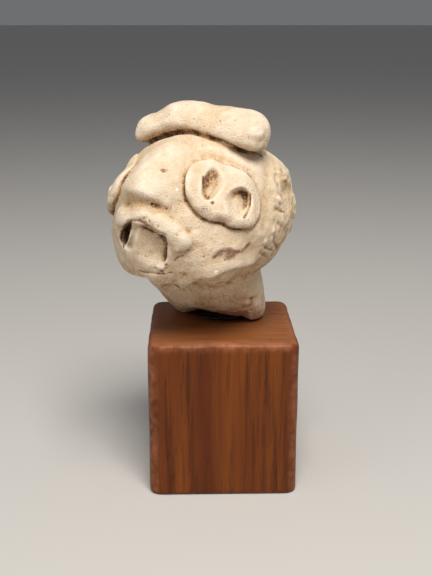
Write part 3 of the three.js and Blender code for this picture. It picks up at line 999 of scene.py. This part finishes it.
wood = dict(
    corner=3, edge=1.5, base=0.8, voxel=0.6, waviness=0.05,
    deep="#2E1204", body="#5E2A0A", light="#7E4214", endGrain="#84502F", endLight="#9A6238", worn_and_highlight="#A8694A",
    poreColour="#200A03",
    streak=(1.6, 1.6, 40), fibre=(0.35, 0.35, 12), vessel=(0.5, 0.5, 7), rings=(9, 0.6, 9),
    roughness=(0.36, 0.5),
)


def makeBlock():
    bpy.ops.mesh.primitive_cube_add(size=1, location=(blockLow + blockHigh) / 2)
    piece = bpy.context.object
    takeUp(piece)
    piece.name = "hardwood_block"
    piece.scale = (blockHigh - blockLow) + Vector((0.8, 1.3, 0.1)) * mm
    bpy.ops.object.transform_apply(location=True, rotation=True, scale=True)
    bevelEdges(piece, lambda a, b: abs(a.z - b.z) > mm, wood["corner"], 8)
    bevelEdges(piece, lambda a, b: min(a.z, b.z) > blockHigh.z - 0.1 * mm, wood["edge"], 6)
    bevelEdges(piece, lambda a, b: max(a.z, b.z) < blockLow.z + 0.1 * mm, wood["base"], 4)
    applyModifier(piece, "REMESH", mode="VOXEL", voxel_size=wood["voxel"] * mm)
    mesh = Clay(piece)
    mesh.points = mesh.spread(mesh.points, 2)
    inner = np.array(blockHigh) / mm
    near = np.stack([np.abs(mesh.points[:, 0]), np.abs(mesh.points[:, 1]),
                     mesh.points[:, 2] - inner[2] + inner[0]]) / inner[0]
    outer = np.sort(near, axis=0)[1]                  # 1 where two faces meet
    edges = ease((outer - 0.86) / 0.1)
    wobble = wood["waviness"] * unevenness(mesh.points, 16, 7)
    rub = -0.12 * edges * (0.6 + 0.4 * unevenness(mesh.points, 7, 8))
    inward = ease(mesh.points[:, 2] / 2)              # the base stays flat on the floor
    mesh.points += mesh.normals * ((wobble + rub) * inward)[:, None]
    mesh.points[:, 2] -= mesh.points[:, 2].min()
    mesh.settle()
    # Edges get paler in the material: wear and painted sheen.
    layer = piece.data.attributes.new("rubbed_and_sheen", "FLOAT", "POINT")
    layer.data.foreach_set("value", edges.astype(np.float32))
    bpy.ops.object.shade_smooth()
    return piece


def bevelEdges(piece, test, radius, segments):
    bpy.ops.object.mode_set(mode="EDIT")
    bpy.ops.mesh.select_mode(type="EDGE")
    bpy.ops.mesh.select_all(action="DESELECT")
    bpy.ops.object.mode_set(mode="OBJECT")
    vertices = piece.data.vertices
    for edge in piece.data.edges:
        a, b = (vertices[i].co for i in edge.vertices)
        edge.select = test(a, b)
    bpy.ops.object.mode_set(mode="EDIT")
    bpy.ops.mesh.bevel(offset=radius * mm, segments=segments, affect="EDGES", profile=0.5)
    bpy.ops.mesh.select_mode(type="VERT")
    bpy.ops.object.mode_set(mode="OBJECT")


def makeWoodMaterial():
    material, tree, shader = newMaterial("Stained close-grained hardwood, waxed")
    streak = noise(tree, 1, 3, 0.6, 0.3, wood["streak"])
    fibre = noise(tree, 1, 4, 0.65, 0, wood["fibre"])
    broad = noise(tree, 1, 2, 0.5, 0.4, (9, 9, 90))
    vessel = cells(tree, 1, wood["vessel"]).outputs["Distance"]
    colour = blend(tree, ramp(tree, broad, 0.35, 0.65), linear(wood["body"]), linear(wood["light"]))
    colour = blend(tree, ramp(tree, streak, 0.5, 0.75, (0, 0.75)), colour, linear(wood["deep"]))
    colour = blend(tree, ramp(tree, fibre, 0.35, 0.8, (0, 0.4)), colour, linear(wood["deep"]))
    upward = addNode(tree, "SeparateXYZ", {"Vector": addNode(tree, "NewGeometry").outputs["Normal"]})
    top = ramp(tree, upward.outputs["Z"], 0.6, 0.95)
    rings = noise(tree, 1, 4, 0.6, 0, wood["rings"])
    ends = blend(tree, ramp(tree, rings, 0.35, 0.65), linear(wood["endGrain"]), linear(wood["endLight"]))
    colour = blend(tree, compute(tree, "MULTIPLY", top, 0.8), colour, ends)
    pores = compute(tree, "MULTIPLY", ramp(tree, vessel, 0.1, 0.22, (1, 0)), ramp(tree, streak, 0.4, 0.6))
    colour = blend(tree, compute(tree, "MULTIPLY", pores, 0.8), colour, linear(wood["poreColour"]))
    # Paler rubbed edges: wear and painted sheen.
    wear = ramp(tree, noise(tree, 2.5, 4, 0.6), 0.35, 0.65)
    rubbed_and_sheen = compute(tree, "MULTIPLY", attribute(tree, "rubbed_and_sheen"), wear)
    colour = blend(tree, compute(tree, "MULTIPLY", rubbed_and_sheen, 0.5), colour, linear(wood["worn_and_highlight"]))
    tree.links.new(colour, shader.inputs["Base Color"])
    tree.links.new(ramp(tree, fibre, 0.3, 0.7, wood["roughness"]), shader.inputs["Roughness"])
    shader.inputs["Specular IOR Level"].default_value = 0.2
    height = compute(tree, "SUBTRACT", compute(tree, "MULTIPLY", fibre, 0.5), pores)
    bump = addNode(tree, "Bump", {"Height": height, "Strength": 0.5, "Distance": 0.08 * mm})
    tree.links.new(bump.outputs["Normal"], shader.inputs["Normal"])
    return material


block = makeBlock()
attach(block, "root")
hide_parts("wood_block")
block.data.materials.clear()
block.data.materials.append(makeWoodMaterial())

# The glue's near-black colour also stands for the shadow in the gap under the neck: dark glue and painted
# shadow.
glue = dict(colour="#0E0A08", roughness=(0.2, 0.5), ripple=1.2)


def makeGlueMaterial():
    material, tree, shader = newMaterial("Set hot glue, dark as the shadowed gap")
    shader.inputs["Base Color"].default_value = linear(glue["colour"])
    shine = ramp(tree, noise(tree, glue["ripple"]), 0.3, 0.7, glue["roughness"])
    tree.links.new(shine, shader.inputs["Roughness"])
    return material


def makeGlue():
    middle = (glueLow + glueHigh) / 2
    bpy.ops.mesh.primitive_uv_sphere_add(segments=64, ring_count=32, radius=0.5, location=middle)
    piece = bpy.context.object
    takeUp(piece)
    piece.name = "glue_bead"
    piece.scale = (glueHigh - glueLow) - Vector((0.8, 1.4, 0)) * mm
    bpy.ops.object.transform_apply(location=True, rotation=True, scale=True)
    bead = Clay(piece)
    flat = np.array([1, 1, 0.3])
    bead.points += bead.normals * flat * (0.35 * unevenness(bead.points, 3.5, 11))[:, None]
    bead.points[:, 2] = np.maximum(bead.points[:, 2], blockTop)
    bead.settle()
    bpy.ops.object.shade_smooth()
    return piece


glueBead = makeGlue()
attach(glueBead, "root")
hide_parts("mounting_glue")
glueBead.data.materials.clear()
glueBead.data.materials.append(makeGlueMaterial())
print("block and glue made")

# Floor, light and camera


def makeCamera():
    data = bpy.data.cameras.new("camera")
    data.lens = data.sensor_width * camera["focal"] / camera["high"]
    data.clip_start = 0.01
    piece = bpy.data.objects.new("camera", data)
    bpy.context.scene.collection.objects.link(piece)
    piece.location = Vector(camera["place"]) * mm
    piece.rotation_euler = cameraTurn
    bpy.context.scene.camera = piece


def makeLight(name, place, size, power, colour="#FFFFFF"):
    data = bpy.data.lights.new(name, "AREA")
    data.size = size
    data.energy = power
    data.color = linear(colour)[:3]
    piece = bpy.data.objects.new(name, data)
    bpy.context.scene.collection.objects.link(piece)
    piece.location = place
    target = Vector((0, 0, 0.07))
    piece.rotation_euler = (target - piece.location).to_track_quat("-Z", "Y").to_euler()


def makeStage():
    bpy.ops.mesh.primitive_plane_add(size=60)
    floor = bpy.context.object
    floor.name = "floor"
    material, _, shader = newMaterial("Pale floor")
    shader.inputs["Base Color"].default_value = linear("#C9C7C4")
    shader.inputs["Roughness"].default_value = 0.8
    floor.data.materials.append(material)
    world = bpy.data.worlds.new("studio")
    bpy.context.scene.world = world
    world.use_nodes = True
    world.node_tree.nodes["Background"].inputs["Color"].default_value = linear("#E4E6EA")
    world.node_tree.nodes["Background"].inputs["Strength"].default_value = 0.2


makeCamera()
makeStage()
makeLight("key", (0.05, -0.36, 0.64), 0.34, 6, "#FFFAF2")
makeLight("fill", (-0.6, -0.5, 0.3), 0.6, 1)
bpy.context.scene.view_settings.view_transform = "Standard"
print("floor, light and camera placed")
